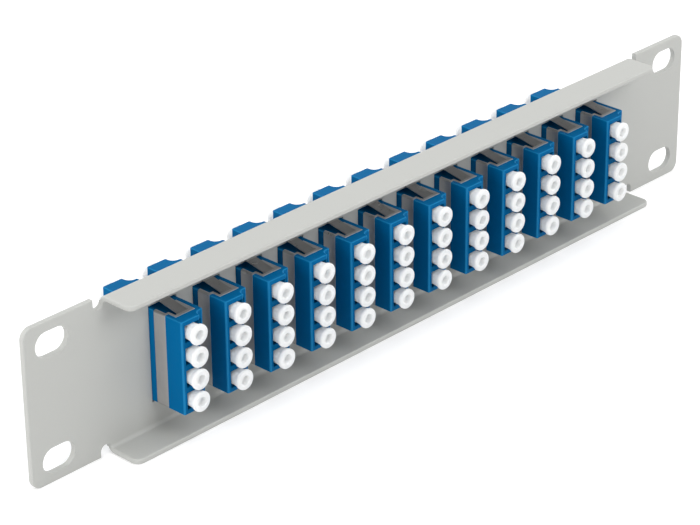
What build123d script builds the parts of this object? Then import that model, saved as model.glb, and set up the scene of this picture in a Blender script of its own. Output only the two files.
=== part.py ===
"""Ten-inch fibre patch panel: a folded sheet panel with twelve four-port LC adapters and their dust caps.

Frame: millimetres, X along the panel, -Y towards the user, +Z up. The origin is the middle of the rack slot
pattern, on the back face of the ears, which is the face that meets the rack.
"""
from build123d import *
import os

# Panel sheet
panel_width = 254.0            # ten inches over the ears
panel_height = 44.0            # one rack unit, less the usual play
ear_width = 25.4               # one inch on each side of the flanges
sheet = 1.5                    # folded steel sheet with its paint
bend_inner_radius = 1.0
flange_depth = 11.3            # back face to the front edge of each folded flange
flange_corner_radius = 2.2
ear_corner_radius = 3.0
edge_radius = 0.45             # paint-rounded rim of the flanges
rim_radius = 0.3               # paint-rounded rim of the ears

# Relief notches between each flange and its ear
relief_width = 3.3
relief_depth = 3.2

# Rack slots
slot_inset = 8.75              # from the panel's end to the middle of its slots
slot_pitch_z = 31.75
slot_length = 10.4
slot_width = 6.9

# Adapter row
adapter_count = 12
adapter_pitch = 15.0
cutout_clearance_x = 0.15      # each side, between an adapter body and its cut-out
cutout_clearance_z = 0.5       # each end

# Adapter housing, two moulded halves that meet behind the sheet
body_width = 9.2
port_end_wall = 1.275          # wall beyond the last port at each end
front_half_length = 14.25      # from the joint of the halves to the port face
rear_half_length = 14.55
collar = 1.05                  # thickness of each half's collar, behind the sheet
collar_overhang_x = 0.6        # each side
collar_overhang_z = 1.8        # each end
body_corner_radius = 0.5       # upright corners
body_rim_radius = 0.25         # rims of the two ends
front_latch_width = 2.9        # width of the latch side, whose front edge is set back
rear_latch_width = 2.6
front_latch_setback = 2.0
rear_latch_setback = 2.8
front_latch_fillet = 1.4
rear_latch_fillet = 2.0
latch_flat = 0.1               # least flat wall left between that fillet and a corner
latch_window_depth = 3.0       # shared notch in the edge of the latch side
latch_window_inset = 4.2       # from each end of the body

# Ports
port_count = 4
port_pitch = 6.25
port_width = 4.8
port_height = 4.7
port_side_wall = 1.1           # wall on the clip side
port_floor = 2.0               # from the joint of the two halves
latch_slot_width = 2.4
latch_slot_reach = 2.4         # from the port towards the latch side
latch_slot_floor = 4.0         # from the joint of the two halves
holder_outer_diameter = 2.8    # post that holds the sleeve
holder_lip = 0.3               # keeps the sleeve in

# Split sleeves
sleeve_outer_diameter = 1.62
sleeve_inner_diameter = 1.25
sleeve_length = 6.8
sleeve_slit = 0.25
sleeve_clearance = 0.04        # radial play in the holder
sleeve_end_play = 0.02

# Spring clip
clip_sheet = 0.3
clip_bend_radius = 0.5         # outside of the bend
clip_seat_depth_side = 0.35
clip_seat_depth_end = 0.2
clip_seat_play = 0.05          # between the clip's edges and its seat
clip_setback = 1.75            # from the sheet's front face to the clip's rear edge
clip_end_wall = 1.5            # housing wall beside the clip's end plate
strap_width = 4.15
strap_turn = 0.9               # part of each end that the strap's bend covers
plate_width = 6.8              # end plates, which are wider than the strap
plate_step = 1.2               # where the end plate widens, from the clip side
plate_rail = 0.75              # rail of the end plate between its outer edge and its window
tongue_width = 3.3
tongue_offset_x = -0.17        # middle of the tongue from the middle of the adapter
tongue_rail = 1.0              # front rail of the end plate, which carries the tongue
tongue_lift = 1.2              # height of the tip over the end plate
tongue_toe = 0.9               # level end of the tongue
tongue_play = 0.4              # from the tip to the sheet that it locks against
tongue_gap = 0.25              # beside the tongue, in the window that it was cut from
pocket_depth = 0.7             # in the housing under that window, below the clip's seat

# Dust caps
cap_clearance = 0.1            # each side, between the stem and its port
cap_stem_length = 7.0          # inside the port
cap_neck_length = 2.1          # outside the port
cap_head_diameter = 5.7
cap_head_length = 0.8
cap_head_chamfer = 0.25
cap_hole_diameter = 2.9
cap_hole_depth = 4.0

# Grouping of the small pieces
rear_caps_per_node = 2         # adapters whose rear caps share one node
sleeves_per_node = 4           # adapters whose sleeves share one node

overshoot = 1.0                # how far a cutting shape runs past the face that it opens

# Worked out from the above
slot_pitch_x = panel_width - 2 * slot_inset
flange_length = panel_width - 2 * ear_width
half_height = panel_height / 2
bend_outer_radius = bend_inner_radius + sheet
bend_start = half_height - bend_outer_radius
flange_end = flange_length / 2
web_front_y = -sheet
ear_rim_start = flange_end + relief_width + rim_radius

body_height = (port_count - 1) * port_pitch + port_height + 2 * port_end_wall
body_half_width = body_width / 2
body_half_height = body_height / 2
port_left = -body_half_width + port_side_wall
port_right = port_left + port_width
port_centre_x = (port_left + port_right) / 2
sleeve_seat = sleeve_length / 2 + sleeve_end_play
holder_top = sleeve_seat + holder_lip

seat_side_x = -body_half_width + clip_seat_depth_side
seat_end_z = body_half_height - clip_seat_depth_end
seat_wall_x = body_half_width - clip_end_wall
clip_inner_radius = clip_bend_radius - clip_sheet
clip_right_x = seat_wall_x - clip_seat_play
clip_width = clip_right_x + body_half_width
clip_top_z = seat_end_z + clip_sheet
clip_back_y = web_front_y - clip_setback
strap_front_y = clip_back_y - strap_width
plate_front_y = clip_back_y - plate_width
tongue_root_y = plate_front_y + tongue_rail
tongue_tip_y = web_front_y - tongue_play
window_left_x = -body_half_width + plate_step + plate_rail
window_right_x = tongue_offset_x + tongue_width / 2 + tongue_gap
window_step_y = strap_front_y + plate_rail

cap_stem_diameter = min(port_width, port_height) - 2 * cap_clearance


def adapter_xs():
    """Middle of each adapter along the panel."""
    first = -adapter_pitch * (adapter_count - 1) / 2
    return [first + adapter_pitch * i for i in range(adapter_count)]


def port_zs():
    """Middle of each port, from the lowest up."""
    first = -port_pitch * (port_count - 1) / 2
    return [first + port_pitch * i for i in range(port_count)]


def box_between(x, y, z):
    """Box from three (low, high) pairs."""
    size = (x[1] - x[0], y[1] - y[0], z[1] - z[0])
    return Pos((x[0] + x[1]) / 2, (y[0] + y[1]) / 2, (z[0] + z[1]) / 2) * Box(*size)


def along_y(shape_2d, y_from, y_to):
    """Extrude a sketch drawn in X and Z from one depth to the other."""
    flat = Plane(origin=(0, y_from, 0), x_dir=(1, 0, 0), z_dir=(0, 1, 0))
    return extrude(flat * mirror(shape_2d, Plane.XZ), y_to - y_from)


def flange_section():
    """Bend and flange in section, drawn in Y and Z, for the top of the panel."""
    inner_z = half_height - sheet
    with BuildSketch(Plane.YZ) as section:
        with BuildLine():
            Line((0, bend_start), (web_front_y, bend_start))
            RadiusArc((web_front_y, bend_start), (-bend_outer_radius, inner_z), -bend_inner_radius)
            Line((-bend_outer_radius, inner_z), (-flange_depth, inner_z))
            Line((-flange_depth, inner_z), (-flange_depth, half_height))
            Line((-flange_depth, half_height), (-bend_outer_radius, half_height))
            RadiusArc((-bend_outer_radius, half_height), (0, bend_start), bend_outer_radius)
        make_face()
    return section.sketch


def top_flange():
    """Folded flange with rounded corners and a paint-rounded front rim."""
    flange = extrude(flange_section(), flange_end, both=True)
    corners = flange.edges().filter_by(Axis.Z).group_by(Axis.Y)[0]
    flange = fillet(corners, flange_corner_radius)
    across = flange.edges().filter_by(Axis.Z)
    rim_y = -flange_depth + flange_corner_radius
    rim = [e for e in flange.edges() if e.center().Y < rim_y and e not in across]
    return fillet(rim, edge_radius)


def web_outline():
    """Flat part of the sheet in X and Z: web, ears, relief notches and adapter cut-outs."""
    outline = RectangleRounded(panel_width, panel_height, ear_corner_radius)
    fold = Rectangle(flange_length, bend_outer_radius)
    relief_x = flange_end + relief_width / 2
    relief = SlotOverall(2 * relief_depth, relief_width, rotation=90)
    for end in (1, -1):
        outline -= Pos(0, end * (half_height - bend_outer_radius / 2)) * fold
        for side in (1, -1):
            outline -= Pos(side * relief_x, end * half_height) * relief
    opening = Rectangle(body_width + 2 * cutout_clearance_x, body_height + 2 * cutout_clearance_z)
    for x in adapter_xs():
        outline -= Pos(x, 0) * opening
    return outline


def rack_slots():
    """The four slots for the rack screws, in X and Z."""
    slot = SlotOverall(slot_length, slot_width)
    return [Pos(x * slot_pitch_x / 2, z * slot_pitch_z / 2) * slot for x in (1, -1) for z in (1, -1)]


def panel():
    """The folded sheet: web and ears in one plane, flanges bent forward."""
    web = along_y(web_outline(), 0, web_front_y)
    across = web.edges().filter_by(Axis.Y)
    rim = [e for e in web.edges() if abs(e.center().X) > ear_rim_start and e not in across]
    web = fillet(rim, rim_radius)
    for slot in rack_slots():
        web -= along_y(slot, 0, web_front_y)
    top = top_flange()
    return web + top + mirror(top, Plane.XY)


def post(diameter, start, stop):
    """Round post on a port's axis, between two distances from the joint of the halves."""
    middle = collar - (start + stop) / 2
    return Pos(port_centre_x, middle, 0) * Rot(90, 0, 0) * Cylinder(diameter / 2, stop - start)


def port_cavity(face_y):
    """One port with its latch slot, holder post and sleeve bore, for a half that points along -Y."""
    height = (-port_height / 2, port_height / 2)
    latch_height = (-latch_slot_width / 2, latch_slot_width / 2)
    cavity = box_between((port_left, port_right), (face_y, collar - port_floor), height)
    reach = (port_centre_x, port_right + latch_slot_reach)
    cavity += box_between(reach, (face_y, collar - latch_slot_floor), latch_height)
    cavity -= post(holder_outer_diameter, port_floor, holder_top)
    cavity += post(sleeve_outer_diameter + 2 * sleeve_clearance, 0, sleeve_seat)
    cavity += post(sleeve_inner_diameter, sleeve_seat, holder_top)
    return cavity


def body_plan(face_y, latch_x, step_y, latch_fillet):
    """Body of a half in plan: the port face, and the latch side set back behind a rounded step."""
    room = min(body_half_width - latch_x, step_y - face_y) - body_corner_radius - latch_flat
    corners = (
        ((-body_half_width, collar), 0),
        ((-body_half_width, face_y), body_corner_radius),
        ((latch_x, face_y), body_corner_radius),
        ((latch_x, step_y), min(latch_fillet, room)),
        ((body_half_width, step_y), body_corner_radius),
        ((body_half_width, collar), 0),
    )
    with BuildSketch() as plan:
        with BuildLine():
            FilletPolyline(*[point for point, _ in corners], radius=[r for _, r in corners], close=True)
        make_face()
    return plan.sketch


def housing_half(length, latch_width, latch_setback, latch_fillet):
    """One moulded half, pointing along -Y, with its collar behind the sheet and no clip seat."""
    face_y = collar - length
    step_y = face_y + latch_setback
    latch_x = body_half_width - latch_width
    window_z = body_half_height - latch_window_inset
    end = extrude(body_plan(face_y, latch_x, step_y, latch_fillet), latch_window_inset)
    rim = [e for e in end.edges().group_by(Axis.Z)[-1] if e.center().Y < collar - body_rim_radius]
    end = Pos(0, 0, window_z) * fillet(rim, body_rim_radius)
    window_plan = body_plan(face_y, latch_x, step_y + latch_window_depth, latch_fillet)
    middle = extrude(window_plan, window_z, both=True)
    collar_x = body_half_width + collar_overhang_x
    collar_z = body_half_height + collar_overhang_z
    half = middle + end + mirror(end, Plane.XY)
    half += box_between((-collar_x, collar_x), (0, collar), (-collar_z, collar_z))
    cavity = port_cavity(face_y)
    for z in port_zs():
        half -= Pos(0, 0, z) * cavity
    return half


def clip_seat():
    """Space that the spring clip needs: a band round the clip side and both ends, and the end plates."""
    left = -body_half_width - overshoot
    back = clip_back_y + clip_seat_play
    around = Pos((left + seat_wall_x) / 2, 0) * Rectangle(seat_wall_x - left, body_height + 2 * overshoot)
    core_size = (2 * (seat_wall_x - seat_side_x), 2 * seat_end_z)
    core = Pos(seat_wall_x, 0) * RectangleRounded(*core_size, clip_inner_radius + clip_seat_play)
    band = along_y(around - core, back, strap_front_y - clip_seat_play)
    plate = box_between(
        (-body_half_width + plate_step - clip_seat_play, seat_wall_x),
        (plate_front_y - clip_seat_play, back),
        (seat_end_z, body_half_height + overshoot),
    )
    pocket = window_prism(0, seat_end_z - pocket_depth, body_half_height + overshoot)
    ends = plate + pocket
    return band + ends + mirror(ends, Plane.XY)


def window_prism(back_y, z_from, z_to):
    """The end plate's window in plan, open at the back and stepped like the plate, between two heights."""
    strap_inner_x = -body_half_width + strap_turn
    outline = (
        (window_left_x, tongue_root_y),
        (window_right_x, tongue_root_y),
        (window_right_x, back_y),
        (strap_inner_x, back_y),
        (strap_inner_x, window_step_y),
        (window_left_x, window_step_y),
    )
    return Pos(0, 0, z_from) * extrude(make_face(Polyline(*outline, close=True)), z_to - z_from)


def clip_section():
    """The clip's U in X and Z: the strap, and an arm over each end of the body."""
    outer = RectangleRounded(2 * clip_width, 2 * clip_top_z, clip_bend_radius)
    inner = RectangleRounded(2 * (clip_width - clip_sheet), 2 * seat_end_z, clip_inner_radius)
    half = Pos(-clip_width / 2, 0) * Rectangle(clip_width, 2 * clip_top_z)
    return Pos(clip_right_x, 0) * ((outer - inner) & half)


def spring_clip():
    """Folded spring clip: strap on the clip side, and an end plate with a locking tongue at each end."""
    clip = along_y(clip_section(), clip_back_y, plate_front_y)
    strap_x = (-body_half_width - overshoot, -body_half_width + plate_step)
    height = clip_top_z + overshoot
    clip -= box_between(strap_x, (plate_front_y - overshoot, strap_front_y), (-height, height))
    window = window_prism(clip_back_y + overshoot, seat_end_z - clip_inner_radius, height)
    tongue = spring_tongue()
    for end in (window, mirror(window, Plane.XY)):
        clip -= end
    return clip + tongue + mirror(tongue, Plane.XY)


def spring_tongue():
    """Tongue bent up from the front rail of the end plate, back towards the sheet, with a level toe."""
    toe_y = tongue_tip_y - tongue_toe
    profile = (
        (tongue_root_y - clip_sheet, 0),
        (tongue_root_y, 0),
        (toe_y, tongue_lift),
        (tongue_tip_y, tongue_lift),
    )
    with BuildSketch(Plane.YZ) as section:
        with BuildLine():
            upper = Polyline(*[(y, clip_top_z + rise) for y, rise in profile])
            lower = Polyline(*[(y, seat_end_z + rise) for y, rise in profile])
            Line(upper @ 0, lower @ 0)
            Line(upper @ 1, lower @ 1)
        make_face()
    return Pos(tongue_offset_x, 0, 0) * extrude(section.sketch, tongue_width / 2, both=True)


def dust_cap():
    """Dust cap turned about its axis, pointing along -Y, with its port's mouth at Y = 0."""
    stem = cap_stem_diameter / 2
    head = cap_head_diameter / 2
    hole = cap_hole_diameter / 2
    end = -cap_neck_length - cap_head_length
    with BuildSketch() as section:
        with BuildLine():
            Polyline(
                (0, cap_stem_length),
                (stem, cap_stem_length),
                (stem, -cap_neck_length),
                (head, -cap_neck_length),
                (head, end + cap_head_chamfer),
                (head - cap_head_chamfer, end),
                (hole, end),
                (hole, end + cap_hole_depth),
                (0, end + cap_hole_depth),
                close=True,
            )
        make_face()
    return revolve(section.sketch, Axis.Y)


def split_sleeve():
    """Ceramic sleeve with a slit along its length, on the Y axis, half of it in each housing half."""
    tube = Circle(sleeve_outer_diameter / 2) - Circle(sleeve_inner_diameter / 2)
    tube -= Pos(0, sleeve_outer_diameter / 2) * Rectangle(sleeve_slit, sleeve_outer_diameter)
    return along_y(tube, collar - sleeve_length / 2, collar + sleeve_length / 2)


def to_rear(shape):
    """Mirror a piece that points along -Y through the plane where the halves meet."""
    return mirror(shape, Plane.XZ.offset(-collar))


def four_ports(piece):
    """A like piece at each port of one adapter."""
    return [Pos(port_centre_x, 0, z) * piece for z in port_zs()]


def moved(pieces, x):
    """The pieces at one adapter's place."""
    return [Pos(x, 0, 0) * piece for piece in pieces]


def save(name, pieces):
    """Write one node, of one solid or of like separate solids."""
    solids = [s for piece in pieces for s in piece.solids()]
    shape = solids[0] if len(solids) == 1 else Compound(children=solids)
    export_step(shape, os.path.join("parts", name + ".step"))


def main():
    os.makedirs("parts", exist_ok=True)
    save("panel", [panel()])

    front_half = housing_half(front_half_length, front_latch_width, front_latch_setback, front_latch_fillet)
    front_half -= clip_seat()
    rear_half = housing_half(rear_half_length, rear_latch_width, rear_latch_setback, rear_latch_fillet)
    rear_half = to_rear(rear_half)
    clip = spring_clip()
    front_caps = four_ports(Pos(0, collar - front_half_length, 0) * dust_cap())
    rear_caps = [to_rear(cap) for cap in four_ports(Pos(0, collar - rear_half_length, 0) * dust_cap())]
    sleeves = four_ports(split_sleeve())

    xs = adapter_xs()
    for number, x in enumerate(xs, start=1):
        save(f"housing_front_{number:02d}", moved([front_half], x))
        save(f"housing_rear_{number:02d}", moved([rear_half], x))
        save(f"spring_clip_{number:02d}", moved([clip], x))
        save(f"front_dust_caps_{number:02d}", moved(front_caps, x))

    for group, start in enumerate(range(0, adapter_count, rear_caps_per_node), start=1):
        caps = [c for x in xs[start:start + rear_caps_per_node] for c in moved(rear_caps, x)]
        save(f"rear_dust_caps_{group}", caps)
    for group, start in enumerate(range(0, adapter_count, sleeves_per_node), start=1):
        tubes = [t for x in xs[start:start + sleeves_per_node] for t in moved(sleeves, x)]
        save(f"split_sleeves_{group}", tubes)


if __name__ == "__main__":
    main()
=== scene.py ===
"""Looks of a ten-inch fibre patch panel: its finishes, soft edges, dust caps and a plain studio.

The CAD frame gives every piece its size and place, in metres, with X along the panel, -Y towards the user
and +Z up. Nothing here moves or resizes a part of the frame.
"""

import math

import bmesh
import bpy
import numpy as np
from bpy.props import FloatProperty, FloatVectorProperty, IntProperty, PointerProperty
from mathutils import Matrix, Vector


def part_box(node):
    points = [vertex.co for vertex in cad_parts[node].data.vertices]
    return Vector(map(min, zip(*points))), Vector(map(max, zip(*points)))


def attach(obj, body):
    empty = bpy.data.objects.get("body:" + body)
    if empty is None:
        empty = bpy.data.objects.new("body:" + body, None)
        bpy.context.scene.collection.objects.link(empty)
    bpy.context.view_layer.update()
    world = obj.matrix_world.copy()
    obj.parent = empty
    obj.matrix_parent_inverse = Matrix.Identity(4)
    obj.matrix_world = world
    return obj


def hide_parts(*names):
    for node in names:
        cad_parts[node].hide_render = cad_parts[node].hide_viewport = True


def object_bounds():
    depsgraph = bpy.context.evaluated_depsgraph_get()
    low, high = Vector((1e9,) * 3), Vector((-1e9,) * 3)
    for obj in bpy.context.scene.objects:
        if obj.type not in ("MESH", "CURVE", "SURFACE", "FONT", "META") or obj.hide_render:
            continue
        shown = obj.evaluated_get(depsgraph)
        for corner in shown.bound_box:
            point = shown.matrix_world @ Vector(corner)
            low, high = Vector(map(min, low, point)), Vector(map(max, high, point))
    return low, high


bl_info = {
    "name": "Fibre Patch Panel",
    "version": (1, 0, 0),
    "blender": (4, 5, 0),
    "location": "View3D > Sidebar > Patch Panel",
    "description": "Finishes, soft edges, dust caps and a plain studio for a ten-inch fibre patch panel",
    "category": "Object",
}

MM = 0.001
IMAGE_WIDTH_PX = 700.0
IMAGE_HEIGHT_PX = 525.0
SENSOR_WIDTH_MM = 36.0
CAMERA_REACH = (0.01, 100.0)           # nearest and farthest distance that it sees, in metres

WHITE = (1.0, 1.0, 1.0, 1.0)
MIX_FACTOR, MIX_A, MIX_B = 0, 6, 7     # inputs of a Mix node for colours
MIX_RESULT = 2                         # its output
SLANTED = "slanted"                    # face attribute, see mark_slanted
MERGE_DISTANCE = 0.001 * MM
LARGEST_FACE_WEIGHT = 100              # the most that a larger face can lead the shading

# Prefix of the nodes' names, columns of caps in one node, and side of the panel along Y
CAP_NODES = (
    ("front_dust_caps_", 1, -1),
    ("rear_dust_caps_", 2, 1),
)

# Name, middle of the lamp, and its width and height, in metres
SOFTBOXES = (
    ("front", (0.0, -0.75, 0.62), (0.5, 0.4)),
    ("top", (0.0, 0.0, 0.9), (0.8, 0.8)),
    ("left", (-0.95, -0.1, 0.25), (0.6, 0.6)),
    ("right", (0.9, -0.35, 0.35), (1.0, 1.0)),
    ("rear", (-0.3, 0.85, 0.35), (0.8, 0.5)),
)

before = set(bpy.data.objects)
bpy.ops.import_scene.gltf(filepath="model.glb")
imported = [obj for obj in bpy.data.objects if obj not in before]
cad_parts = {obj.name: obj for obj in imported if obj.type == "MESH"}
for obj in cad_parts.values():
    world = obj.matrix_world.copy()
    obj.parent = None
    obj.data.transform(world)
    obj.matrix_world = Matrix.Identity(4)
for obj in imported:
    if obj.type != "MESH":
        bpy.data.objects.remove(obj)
CAD_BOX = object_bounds()


def nodes_with(prefix):
    """Names of the frame's nodes that begin with a prefix, in order."""
    return sorted(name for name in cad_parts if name.startswith(prefix))


# Shader expressions

class Signal:
    """A shader socket that takes part in Python sums, so that an expression adds its own Math nodes."""

    def __init__(self, nodes, socket):
        self.nodes = nodes
        self.socket = socket

    def _math(self, operation, first, second):
        return self.nodes.add("ShaderNodeMath", {"operation": operation}, {0: first, 1: second}).out("Value")

    def __add__(self, other):
        return self._math("ADD", self, other)

    def __sub__(self, other):
        return self._math("SUBTRACT", self, other)

    def __rsub__(self, other):
        return self._math("SUBTRACT", other, self)

    def __mul__(self, other):
        return self._math("MULTIPLY", self, other)

    __radd__ = __add__
    __rmul__ = __mul__

    def either(self, other):
        """The larger of two masks."""
        return self._math("MAXIMUM", self, other)


class Placed:
    """A shader node in its tree."""

    def __init__(self, nodes, node):
        self.nodes = nodes
        self.node = node

    def out(self, socket):
        """One of its outputs, by name or by number."""
        return Signal(self.nodes, self.node.outputs[socket])


class Nodes:
    """The node tree of a material or of the world, emptied first."""

    def __init__(self, owner):
        owner.use_nodes = True
        self.owner = owner
        self.tree = owner.node_tree
        self.tree.nodes.clear()

    def add(self, kind, settings=None, sockets=None):
        """A node of any type: its settings are set first, then the values or links of its sockets."""
        node = self.tree.nodes.new(kind)
        for name, value in (settings or {}).items():
            setattr(node, name, value)
        for name, value in (sockets or {}).items():
            if isinstance(value, Signal):
                self.tree.links.new(value.socket, node.inputs[name])
            else:
                node.inputs[name].default_value = value
        return Placed(self, node)

    def noise(self, size, detail=2.0, stretch=(1.0, 1.0, 1.0)):
        """Noise from 0 to 1 whose blotches are about one size across, in metres, on object coordinates whose
        axes are multiplied by a stretch.
        """
        where = self.add("ShaderNodeTexCoord").out("Object")
        place = self.add("ShaderNodeMapping", {}, {"Vector": where, "Scale": stretch}).out("Vector")
        sockets = {"Vector": place, "Scale": 1.0 / size, "Detail": detail}
        return self.add("ShaderNodeTexNoise", {}, sockets).out("Fac")

    def slanted(self):
        """1 on slanting faces and 0 on those square to an axis."""
        return self.add("ShaderNodeAttribute", {"attribute_name": SLANTED}).out("Fac")

    def blend(self, factor, low, high):
        """Colour between two others."""
        sockets = {MIX_FACTOR: factor, MIX_A: rgba(low), MIX_B: rgba(high)}
        return self.add("ShaderNodeMix", {"data_type": "RGBA"}, sockets).out(MIX_RESULT)

    def bump(self, height, depth):
        """Normal of a relief whose full height is a depth in metres."""
        return self.add("ShaderNodeBump", {}, {"Height": height, "Distance": depth}).out("Normal")

    def seen_directly(self):
        """1 for the rays of the camera, of gloss and of glass, and 0 for those of diffuse light."""
        path = self.add("ShaderNodeLightPath")
        camera, gloss, glass = (path.out(f"Is {kind} Ray") for kind in ("Camera", "Glossy", "Transmission"))
        return camera.either(gloss.either(glass))

    def surface(self, sockets):
        """Link a principled surface to the output, and give back the material."""
        return self.end(self.add("ShaderNodeBsdfPrincipled", {}, sockets).out("BSDF"))

    def end(self, shader, output="ShaderNodeOutputMaterial"):
        """Link a shader to the output, and give back the material or the world."""
        self.add(output, {}, {"Surface": shader})
        return self.owner


def rgba(colour):
    """Colour with full alpha, or a Signal as it is."""
    return colour if isinstance(colour, Signal) else (*colour[:3], 1.0)


def shade(colour, share):
    """Colour times a share."""
    return tuple(channel * share for channel in colour[:3])


# Finishes

def powder_coat(look):
    """Satin powder coat: faint blotches, a fine orange peel and a grain of paler specks."""
    f = Nodes(bpy.data.materials.new("panel_powder_coat"))
    blotch = f.noise(60.0 * MM, detail=3.0)
    grain = f.noise(0.35 * MM, detail=1.0)
    peel = f.noise(1.3 * MM)
    tone = f.blend(blotch * 0.7 + grain * 0.3, shade(look.paint, 0.965), shade(look.paint, 1.035))
    return f.surface({
        "Base Color": tone,
        "Roughness": 0.40 + blotch * 0.06 + grain * 0.05,
        "Specular IOR Level": 0.3,
        "Normal": f.bump(peel + grain * 0.25, look.peel_depth),
    })


def moulded_plastic(look):
    """Blue moulding: slight flow variation, a fine spark-eroded grain, and smoother rounded edges with a
    painted highlight in a paler blue.
    """
    f = Nodes(bpy.data.materials.new("adapter_blue_plastic"))
    flow = f.noise(9.0 * MM, detail=3.0, stretch=(1.0, 1.0, 0.35))
    grain = f.noise(0.18 * MM, detail=1.0)
    slanted = f.slanted()
    flat = f.blend(flow, shade(look.plastic, 0.92), shade(look.plastic, 1.08))
    return f.surface({
        # Painted highlight: the rounded, slanting faces get a paler blue in place of the light they catch
        "Base Color": f.blend(slanted, flat, look.plastic_edge_highlight),
        "Roughness": 0.32 + flow * 0.06 + grain * 0.05 - slanted * 0.08,
        "Specular IOR Level": look.plastic_gloss,
        "Normal": f.bump(grain, look.grain_depth),
    })


def spring_steel(look):
    """Rolled spring steel: fine lines along the strip, across Y, faint smudges, and painted shade that darkens
    the tongues and bends.
    """
    f = Nodes(bpy.data.materials.new("clip_spring_steel"))
    lines = f.noise(0.12 * MM, stretch=(0.02, 1.0, 0.02))
    smudge = f.noise(3.0 * MM, detail=3.0)
    slanted = f.slanted()
    flat = f.blend(lines * 0.5 + smudge * 0.5, shade(look.steel, 0.86), shade(look.steel, 1.12))
    return f.surface({
        # Painted shade: slanting faces (tongues and bends) get a darker steel in place of the darker
        # surroundings they reflect
        "Base Color": f.blend(slanted, flat, shade(look.steel, look.tongue_painted_shade)),
        "Metallic": 1.0,
        "Roughness": 0.3 + smudge * 0.08 + lines * 0.06 - slanted * 0.08,
        "Normal": f.bump(lines, look.line_depth),
    })


def soft_white_plastic(look):
    """Soft translucent white moulding of the dust caps."""
    f = Nodes(bpy.data.materials.new("cap_white_plastic"))
    cloud = f.noise(4.0 * MM)
    grain = f.noise(0.25 * MM, detail=1.0)
    return f.surface({
        "Base Color": f.blend(cloud, shade(look.cap, 0.98), look.cap),
        "Roughness": 0.42 + cloud * 0.08 + grain * 0.04,
        "Specular IOR Level": 0.15,
        "Subsurface Weight": 0.85,
        "Subsurface Radius": (5.0 * MM, 4.7 * MM, 4.5 * MM),
        "Subsurface Scale": 1.0,
        "Normal": f.bump(grain, look.grain_depth),
    })


def ground_ceramic(look):
    """Ground zirconia of the alignment sleeves, with faint grinding rings round Y."""
    f = Nodes(bpy.data.materials.new("sleeve_ceramic"))
    rings = f.noise(0.10 * MM, detail=1.0, stretch=(0.05, 1.0, 0.05))
    return f.surface({
        "Base Color": f.blend(rings, shade(look.ceramic, 0.97), look.ceramic),
        "Roughness": 0.16 + rings * 0.08,
        "Normal": f.bump(rings, look.line_depth),
    })


def pale_floor(stage):
    """Plain paper, lifted to white where the camera, gloss or glass looks at it, with its shadows kept."""
    f = Nodes(bpy.data.materials.new("pale_floor"))
    paper = f.add("ShaderNodeBsdfDiffuse", {}, {"Color": rgba([stage.floor_tone] * 3)}).out("BSDF")
    strength = f.seen_directly() * stage.floor_lift
    lift = f.add("ShaderNodeEmission", {}, {"Color": WHITE, "Strength": strength}).out("Emission")
    return f.end(f.add("ShaderNodeAddShader", {}, {0: paper, 1: lift}).out("Shader"))


def studio_world(stage):
    """White where the camera, gloss or glass looks at it, and an even ambient light otherwise."""
    w = Nodes(bpy.data.worlds.new("studio"))
    strength = stage.ambient + w.seen_directly() * (1.0 - stage.ambient)
    background = w.add("ShaderNodeBackground", {}, {"Color": WHITE, "Strength": strength})
    return w.end(background.out("Background"), "ShaderNodeOutputWorld")


# Meshes

def add_piece(name, mesh, material, nodes):
    """Link a mesh as a piece that stands for CAD nodes and rides on the part's body."""
    mesh.name = name
    piece = bpy.data.objects.new(name, mesh)
    bpy.context.scene.collection.objects.link(piece)
    mesh.materials.clear()
    mesh.materials.append(material)
    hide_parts(*nodes)
    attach(piece, "root")
    return piece


def merged_copy(node, flat_angle):
    """Copy of a CAD node's mesh with its doubles merged and its flat faces joined up."""
    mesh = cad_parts[node].data.copy()
    shell = bmesh.new()
    shell.from_mesh(mesh)
    bmesh.ops.remove_doubles(shell, verts=shell.verts, dist=MERGE_DISTANCE)
    bmesh.ops.dissolve_limit(shell, angle_limit=flat_angle, verts=shell.verts, edges=shell.edges)
    shell.to_mesh(mesh)
    shell.free()
    mesh.shade_smooth()
    return mesh


def mark_slanted(mesh, level):
    """Face attribute that is 1 on slanting faces, such as roundings and tongues, and 0 on the others.

    A face slants where the largest part of its normal along an axis, max(|x|, |y|, |z|), is below the level.
    """
    normals = np.empty(len(mesh.polygons) * 3)
    mesh.polygons.foreach_get("normal", normals)
    slanted = np.abs(normals.reshape(-1, 3)).max(axis=1) < level
    mark = mesh.attributes.new(SLANTED, "FLOAT", "FACE")
    mark.data.foreach_set("value", slanted.astype(np.float32))


def soften_edges(piece, width, angle, segments):
    """Round every edge sharper than an angle by a bevel of one width, and let the larger faces lead the
    shading, so that flat ones stay flat.
    """
    bevel = piece.modifiers.new("edge_rounding", "BEVEL")
    bevel.width = width
    bevel.segments = segments
    bevel.limit_method = "ANGLE"
    bevel.angle_limit = angle
    shading = piece.modifiers.new("flat_shading", "WEIGHTED_NORMAL")
    shading.mode = "FACE_AREA"
    shading.weight = LARGEST_FACE_WEIGHT


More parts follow.
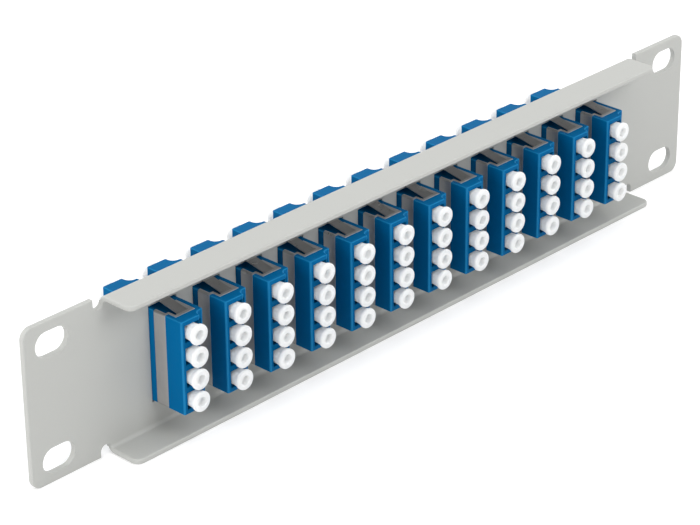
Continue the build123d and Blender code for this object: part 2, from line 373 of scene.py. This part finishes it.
def rounded_profile(corners, radii, steps):
    """Open profile with each inner corner rounded by an arc.

    At a corner P with unit directions a and b to its neighbours, the arc of radius r starts r / tan(h) from P
    towards a, where h is half the angle between a and b. It turns about the centre
    C = P + (a + b) / |a + b| * r / sin(h), and its points are C + r * (u cos t + v sin t), where u points from
    C to the arc's start, v is at right angles to u, and t goes from 0 to 180 degrees less the angle at the
    corner.
    """
    points = np.asarray(corners, float)
    inner = points[1:-1]
    towards = points[:-2] - inner
    onward = points[2:] - inner
    a = towards / np.linalg.norm(towards, axis=1, keepdims=True)
    b = onward / np.linalg.norm(onward, axis=1, keepdims=True)
    half = np.arccos(np.clip((a * b).sum(1), -1.0, 1.0)) / 2
    r = np.asarray(radii, float)
    middle = a + b
    middle /= np.linalg.norm(middle, axis=1, keepdims=True)
    centre = inner + middle * (r / np.sin(half))[:, None]
    start = inner + a * (r / np.tan(half))[:, None]
    u = (start - centre) / r[:, None]
    side = np.sign(u[:, 0] * middle[:, 1] - u[:, 1] * middle[:, 0])
    v = np.stack([-u[:, 1], u[:, 0]], axis=1) * -side[:, None]
    turn = (np.pi - 2 * half)[:, None] * np.linspace(0.0, 1.0, steps + 1)[None, :]
    arcs = centre[:, None, :] + r[:, None, None] * (
        u[:, None, :] * np.cos(turn)[..., None] + v[:, None, :] * np.sin(turn)[..., None])
    return np.concatenate([points[:1], arcs.reshape(-1, 2), points[-1:]])


def turned_solid(profile, centres, direction, turns):
    """Solids of revolution about lines along Y, one for each centre.

    A point (d, r) of the profile at the angle t lies at x = cx + r cos t, y = cy + direction * d and
    z = cz + r sin t, where the direction is 1 or -1. The first and last rings are closed by flat faces.
    """
    angle = np.linspace(0.0, 2 * np.pi, turns, endpoint=False)
    d, r = profile[:, 0, None], profile[:, 1, None]
    ring = np.stack([r * np.cos(angle), direction * d + 0 * angle, r * np.sin(angle)], axis=-1)
    rows = len(profile)
    points = (np.asarray(centres)[:, None, None, :] + ring[None]).reshape(-1, 3)
    i, j = np.meshgrid(np.arange(rows - 1), np.arange(turns), indexing="ij")
    k = (j + 1) % turns
    quads = np.stack([i * turns + j, i * turns + k, (i + 1) * turns + k, (i + 1) * turns + j], axis=-1)
    quads = quads.reshape(-1, 4)
    first = np.arange(turns)[::-1]
    last = (rows - 1) * turns + np.arange(turns)
    if direction < 0:
        quads, first, last = quads[:, ::-1], first[::-1], last[::-1]
    faces = []
    for copy in range(len(centres)):
        shift = copy * rows * turns
        faces += (quads + shift).tolist() + [(first + shift).tolist(), (last + shift).tolist()]
    mesh = bpy.data.meshes.new("turned")
    mesh.from_pydata(points, [], faces)
    mesh.shade_smooth()
    return mesh


def cap_head_radius():
    """Radius of a cap's head, which is half the width of a node with one column of caps."""
    low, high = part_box(nodes_with("front_dust_caps_")[0])
    return (high.x - low.x) / 2


def cap_profile(caps, radius, length):
    """Section of a cap from its stem's end, over neck and head, to the floor of its blind hole.

    Each point is (distance from the head's end towards the port, distance from the axis). The neck leaves the
    port with the stem's radius, widens a little, and flares into the head.
    """
    stem, hole = caps.stem_diameter / 2, caps.hole_diameter / 2
    lead = caps.lead_in
    rim = radius - caps.rim_inset
    corners = [
        (length, stem * caps.end_share),
        (length, stem - lead),
        (length - 3 * lead, stem),
        (length - caps.stem_length, stem),
        (caps.head_length + caps.flare, stem + caps.taper),
        (caps.head_length, rim),
        (0.0, rim),
        (0.0, hole),
        (caps.hole_depth, hole * caps.hole_taper),
        (caps.hole_depth, hole * caps.floor_share),
    ]
    radii = [lead, lead, caps.neck_radius, caps.neck_radius, caps.shoulder_radius, caps.rim_radius,
             caps.mouth_radius, caps.floor_radius]
    return rounded_profile(corners, radii, caps.arc_steps)


# Settings

def length_setting(name, description, size):
    """Length in metres that a user may change."""
    return FloatProperty(name=name, description=description, unit="LENGTH", default=size)


def angle_setting(name, description, degrees):
    """Angle that a user may change."""
    return FloatProperty(name=name, description=description, subtype="ANGLE", default=math.radians(degrees))


def colour_setting(name, description, colour):
    """Colour that a user may change."""
    return FloatVectorProperty(name=name, description=description, subtype="COLOR", default=colour)


def share_setting(name, description, share):
    """Share from 0 to 1 that a user may change."""
    return FloatProperty(
        name=name, description=description, subtype="FACTOR", default=share, min=0.0, max=1.0)


def power_setting(name, description, watts):
    """Power of a lamp that a user may change."""
    return FloatProperty(name=name, description=description, unit="POWER", default=watts, min=0.0)


class FIBREPANEL_PG_finishes(bpy.types.PropertyGroup):
    """Colours and grain of the panel's materials."""
    paint: colour_setting("Paint", "Light grey powder coat", (0.465, 0.47, 0.45))
    plastic: colour_setting("Plastic", "Blue of the adapter housings", (0.0, 0.113, 0.287))
    # Painted highlight: paler blue given to the rounded edges in place of the light they catch
    plastic_edge_highlight: colour_setting("Plastic edge", "Paler blue of the rounded edges", (0.012, 0.175, 0.385))
    plastic_gloss: share_setting("Plastic gloss", "Specular level of the housings", 0.03)
    steel: colour_setting("Steel", "Reflection colour of the clips", (0.58, 0.565, 0.565))
    # Painted shade: share that darkens the steel on tongues and bends, in place of the darker surroundings
    # they reflect
    tongue_painted_shade: share_setting("Tongue tone", "Share of the steel's reflection on its bent faces", 0.74)
    cap: colour_setting("Caps", "White of the dust caps", (0.8, 0.807, 0.802))
    ceramic: colour_setting("Ceramic", "White of the sleeves", (0.82, 0.81, 0.77))
    peel_depth: length_setting("Orange peel", "Depth of the paint's orange peel", 0.012 * MM)
    grain_depth: length_setting("Mould grain", "Depth of the grain on moulded parts", 0.004 * MM)
    line_depth: length_setting("Rolling lines", "Depth of the lines in the metal", 0.003 * MM)


class FIBREPANEL_PG_edges(bpy.types.PropertyGroup):
    """How far each kind of piece has its edges rounded."""
    housing: length_setting("Housing edges", "Rounding of the moulded edges", 0.1 * MM)
    clip: length_setting("Clip edges", "Rounding of the stamped edges", 0.05 * MM)
    sheet: length_setting("Sheet edges", "Paint-rounding of slots and notches", 0.18 * MM)
    angle: angle_setting("Edge angle", "Edges sharper than this are rounded", 40.0)
    flat_angle: angle_setting("Flat angle", "Faces flatter than this are joined", 0.5)
    slant_level: share_setting("Slant level", "A slanted face's normal lies less along any axis", 0.995)
    segments: IntProperty(name="Segments", description="Faces across a rounded edge", default=3, min=1, max=6)
    clip_segments: IntProperty(
        name="Clip segments", description="Faces across a clip's rounded edge", default=2, min=1, max=6)


class FIBREPANEL_PG_caps(bpy.types.PropertyGroup):
    """Form of a dust cap."""
    ports: IntProperty(name="Ports", description="Ports of one adapter", default=4, min=1, max=8)
    head_length: length_setting("Head length", "Length of the head", 0.8 * MM)
    stem_length: length_setting("Stem length", "Length inside the port", 7.0 * MM)
    stem_diameter: length_setting("Stem diameter", "Diameter of the stem", 4.5 * MM)
    lead_in: length_setting("Lead-in", "Chamfer and rounding of the stem's end", 0.12 * MM)
    end_share: share_setting("Stem end", "Flat of the stem's end, as a share of its radius", 0.8)
    taper: length_setting("Taper", "How much the neck's radius grows", 0.13 * MM)
    neck_radius: length_setting("Neck radius", "Rounding where the neck starts and where it flares", 0.5 * MM)
    flare: length_setting("Flare", "Length over which the neck widens to the head", 0.8 * MM)
    shoulder_radius: length_setting("Shoulder radius", "Rounding of the head's back rim", 0.3 * MM)
    rim_inset: length_setting("Rim inset", "From the node's box to the rim", 0.09 * MM)
    rim_radius: length_setting("Rim radius", "Rounding of the head's outer rim", 0.42 * MM)
    mouth_radius: length_setting("Mouth radius", "Rounding of the hole's mouth", 0.3 * MM)
    hole_diameter: length_setting("Hole diameter", "Diameter of the blind hole at its mouth", 2.55 * MM)
    hole_depth: length_setting("Hole depth", "Depth of the blind hole", 1.6 * MM)
    hole_taper: share_setting("Hole taper", "Width of the hole at its floor, as a share of its mouth", 0.85)
    floor_radius: length_setting("Floor radius", "Rounding of the hole's floor", 0.5 * MM)
    floor_share: share_setting("Floor", "Flat of the hole's floor, as a share of its mouth", 0.2)
    turns: IntProperty(name="Facets", description="Faces round a cap", default=48, min=12, max=96)
    arc_steps: IntProperty(
        name="Arc steps", description="Faces across each rounding", default=5, min=2, max=12)


class FIBREPANEL_PG_stage(bpy.types.PropertyGroup):
    """Camera and light."""
    lens: FloatProperty(
        name="Lens", description="Focal length in millimetres on a 36 mm sensor", default=141.85)
    azimuth: angle_setting("Azimuth", "Camera's angle round the panel", -46.1204)
    elevation: angle_setting("Elevation", "Camera's angle over the horizon", 26.6332)
    roll: angle_setting("Roll", "Turn about the view line", -0.6002)
    distance: length_setting("Distance", "From the origin, along the view line", 741.43 * MM)
    origin_px: FloatVectorProperty(
        name="Origin in picture", description="Where the part's origin falls, in pixels from the top left",
        size=2, default=(385.48, 238.84))
    ambient: share_setting("Ambient", "Even light from all round", 0.49)
    front_light: power_setting("Front light", "Power of the high front softbox", 3.0)
    top_light: power_setting("Top light", "Power of the softbox overhead", 3.1)
    left_light: power_setting("Left light", "Power of the softbox on the left", 4.6)
    right_light: power_setting("Right light", "Power of the softbox on the right", 3.8)
    rear_light: power_setting("Rear light", "Power of the softbox behind", 3.0)
    floor_size: length_setting("Floor", "Width of the floor", 12.0)
    floor_tone: share_setting("Floor tone", "Grey level of the floor's paper", 0.8)
    floor_lift: share_setting("Floor lift", "Light that the floor adds for the camera", 0.3)


# Operators

class FIBREPANEL_OT_sheet(bpy.types.Operator):
    """Finish the folded sheet"""
    bl_idname = "fibrepanel.sheet"
    bl_label = "Panel Sheet"

    def execute(self, context):
        edges, look = context.scene.fibrepanel_edges, context.scene.fibrepanel_finishes
        mesh = merged_copy("panel", edges.flat_angle)
        piece = add_piece("panel_sheet", mesh, powder_coat(look), ["panel"])
        soften_edges(piece, edges.sheet, edges.angle, edges.segments)
        return {"FINISHED"}


class FIBREPANEL_OT_housings(bpy.types.Operator):
    """Finish the moulded halves of the adapters"""
    bl_idname = "fibrepanel.housings"
    bl_label = "Adapter Housings"

    def execute(self, context):
        edges, look = context.scene.fibrepanel_edges, context.scene.fibrepanel_finishes
        material = moulded_plastic(look)
        for node in nodes_with("housing_"):
            mesh = merged_copy(node, edges.flat_angle)
            mark_slanted(mesh, edges.slant_level)
            name = node.replace("housing", "moulded_half")
            piece = add_piece(name, mesh, material, [node])
            soften_edges(piece, edges.housing, edges.angle, edges.segments)
        return {"FINISHED"}


class FIBREPANEL_OT_clips(bpy.types.Operator):
    """Finish the spring clips"""
    bl_idname = "fibrepanel.clips"
    bl_label = "Spring Clips"

    def execute(self, context):
        edges, look = context.scene.fibrepanel_edges, context.scene.fibrepanel_finishes
        material = spring_steel(look)
        for node in nodes_with("spring_clip_"):
            mesh = merged_copy(node, edges.flat_angle)
            mark_slanted(mesh, edges.slant_level)
            name = node.replace("spring_clip", "steel_clip")
            piece = add_piece(name, mesh, material, [node])
            soften_edges(piece, edges.clip, edges.angle, edges.clip_segments)
        return {"FINISHED"}


class FIBREPANEL_OT_caps(bpy.types.Operator):
    """Make the dust caps as turned solids"""
    bl_idname = "fibrepanel.caps"
    bl_label = "Dust Caps"

    def execute(self, context):
        caps = context.scene.fibrepanel_caps
        material = soft_white_plastic(context.scene.fibrepanel_finishes)
        for prefix, columns, side in CAP_NODES:
            for node in nodes_with(prefix):
                self.make(node, columns, side, caps, material)
        return {"FINISHED"}

    def make(self, node, columns, side, caps, material):
        """The caps of one node: their heads fill the node's box, and their ends lie on its face."""
        low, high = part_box(node)
        radius = cap_head_radius()
        xs = np.linspace(low.x + radius, high.x - radius, columns)
        zs = np.linspace(low.z + radius, high.z - radius, caps.ports)
        head_end = low.y if side < 0 else high.y
        profile = cap_profile(caps, radius, high.y - low.y)
        centres = [(x, head_end, z) for x in xs for z in zs]
        mesh = turned_solid(profile, centres, -side, caps.turns)
        add_piece(node.replace("dust_caps", "port_caps"), mesh, material, [node])


class FIBREPANEL_OT_sleeves(bpy.types.Operator):
    """Finish the alignment sleeves inside the ports"""
    bl_idname = "fibrepanel.sleeves"
    bl_label = "Alignment Sleeves"

    def execute(self, context):
        material = ground_ceramic(context.scene.fibrepanel_finishes)
        for node in nodes_with("split_sleeves_"):
            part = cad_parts[node]
            part.data.materials.clear()
            part.data.materials.append(material)
        return {"FINISHED"}


class FIBREPANEL_OT_stage(bpy.types.Operator):
    """Make the floor, the light and the camera"""
    bl_idname = "fibrepanel.stage"
    bl_label = "Stage"

    def execute(self, context):
        scene, stage = context.scene, context.scene.fibrepanel_stage
        scene.world = studio_world(stage)
        self.floor(scene, stage)
        for name, place, size in SOFTBOXES:
            self.softbox(scene, name + "_softbox", place, size, getattr(stage, name + "_light"))
        self.camera(scene, stage)
        scene.view_settings.view_transform = "Standard"
        return {"FINISHED"}

    def floor(self, scene, stage):
        """Square floor at the panel's foot."""
        half = stage.floor_size / 2
        z = CAD_BOX[0].z
        mesh = bpy.data.meshes.new("floor")
        corners = [(-half, -half, z), (half, -half, z), (half, half, z), (-half, half, z)]
        mesh.from_pydata(corners, [], [(0, 1, 2, 3)])
        mesh.materials.append(pale_floor(stage))
        floor = bpy.data.objects.new("floor", mesh)
        scene.collection.objects.link(floor)

    def softbox(self, scene, name, place, size, power):
        """Rectangular lamp that faces the middle of the panel."""
        lamp = bpy.data.lights.new(name, "AREA")
        lamp.shape = "RECTANGLE"
        lamp.size, lamp.size_y = size
        lamp.energy = power
        holder = bpy.data.objects.new(name, lamp)
        scene.collection.objects.link(holder)
        holder.location = place
        holder.rotation_mode = "QUATERNION"
        holder.rotation_quaternion = Vector(place).to_track_quat("Z", "Y")

    def camera(self, scene, stage):
        """Camera at the photograph's angle, with the part's origin at its place in the picture.

        With back, right and up as its axes, it stands at back * distance, moved along right and up so that
        the origin falls as many pixels from the picture's middle as it does in the photograph.
        """
        sin_a, cos_a = math.sin(stage.azimuth), math.cos(stage.azimuth)
        sin_e, cos_e = math.sin(stage.elevation), math.cos(stage.elevation)
        back = Vector((sin_a * cos_e, -cos_a * cos_e, sin_e))
        right = Vector((0, 0, 1)).cross(back).normalized()
        up = back.cross(right)
        sin_r, cos_r = math.sin(stage.roll), math.cos(stage.roll)
        right, up = right * cos_r + up * sin_r, up * cos_r - right * sin_r
        data = bpy.data.cameras.new("camera")
        data.lens = stage.lens
        data.sensor_width = SENSOR_WIDTH_MM
        data.sensor_fit = "HORIZONTAL"
        data.clip_start, data.clip_end = CAMERA_REACH
        metres_per_px = stage.distance * data.sensor_width / data.lens / IMAGE_WIDTH_PX
        aside = (stage.origin_px[0] - IMAGE_WIDTH_PX / 2) * metres_per_px
        above = (IMAGE_HEIGHT_PX / 2 - stage.origin_px[1]) * metres_per_px
        place = back * stage.distance - right * aside - up * above
        turn = Matrix((right, up, back)).transposed().to_4x4()
        camera = bpy.data.objects.new("camera", data)
        scene.collection.objects.link(camera)
        camera.matrix_world = Matrix.Translation(place) @ turn
        scene.camera = camera


class FIBREPANEL_PT_sidebar(bpy.types.Panel):
    """Lists the steps and their settings"""
    bl_label = "Patch Panel"
    bl_idname = "FIBREPANEL_PT_sidebar"
    bl_space_type = "VIEW_3D"
    bl_region_type = "UI"
    bl_category = "Patch Panel"

    def draw(self, context):
        for step in STEPS:
            self.layout.operator(step.bl_idname)
        for group in GROUPS:
            settings = getattr(context.scene, group)
            box = self.layout.box()
            for name in settings.bl_rna.properties.keys():
                if name not in {"rna_type", "name"}:
                    box.prop(settings, name)


STEPS = (
    FIBREPANEL_OT_sheet,
    FIBREPANEL_OT_housings,
    FIBREPANEL_OT_clips,
    FIBREPANEL_OT_caps,
    FIBREPANEL_OT_sleeves,
    FIBREPANEL_OT_stage,
)
GROUPS = {
    "fibrepanel_finishes": FIBREPANEL_PG_finishes,
    "fibrepanel_edges": FIBREPANEL_PG_edges,
    "fibrepanel_caps": FIBREPANEL_PG_caps,
    "fibrepanel_stage": FIBREPANEL_PG_stage,
}


def register():
    """Add the settings, the steps and the sidebar."""
    for group, kind in GROUPS.items():
        bpy.utils.register_class(kind)
        setattr(bpy.types.Scene, group, PointerProperty(type=kind))
    for step in STEPS:
        bpy.utils.register_class(step)
    bpy.utils.register_class(FIBREPANEL_PT_sidebar)


def unregister():
    """Take them out again, in the opposite order."""
    bpy.utils.unregister_class(FIBREPANEL_PT_sidebar)
    for step in reversed(STEPS):
        bpy.utils.unregister_class(step)
    for group, kind in reversed(GROUPS.items()):
        delattr(bpy.types.Scene, group)
        bpy.utils.unregister_class(kind)


def main():
    """Make every piece and the stage."""
    register()
    bpy.ops.fibrepanel.sheet()
    bpy.ops.fibrepanel.housings()
    bpy.ops.fibrepanel.clips()
    bpy.ops.fibrepanel.caps()
    bpy.ops.fibrepanel.sleeves()
    bpy.ops.fibrepanel.stage()


if __name__ == "__main__":
    main()
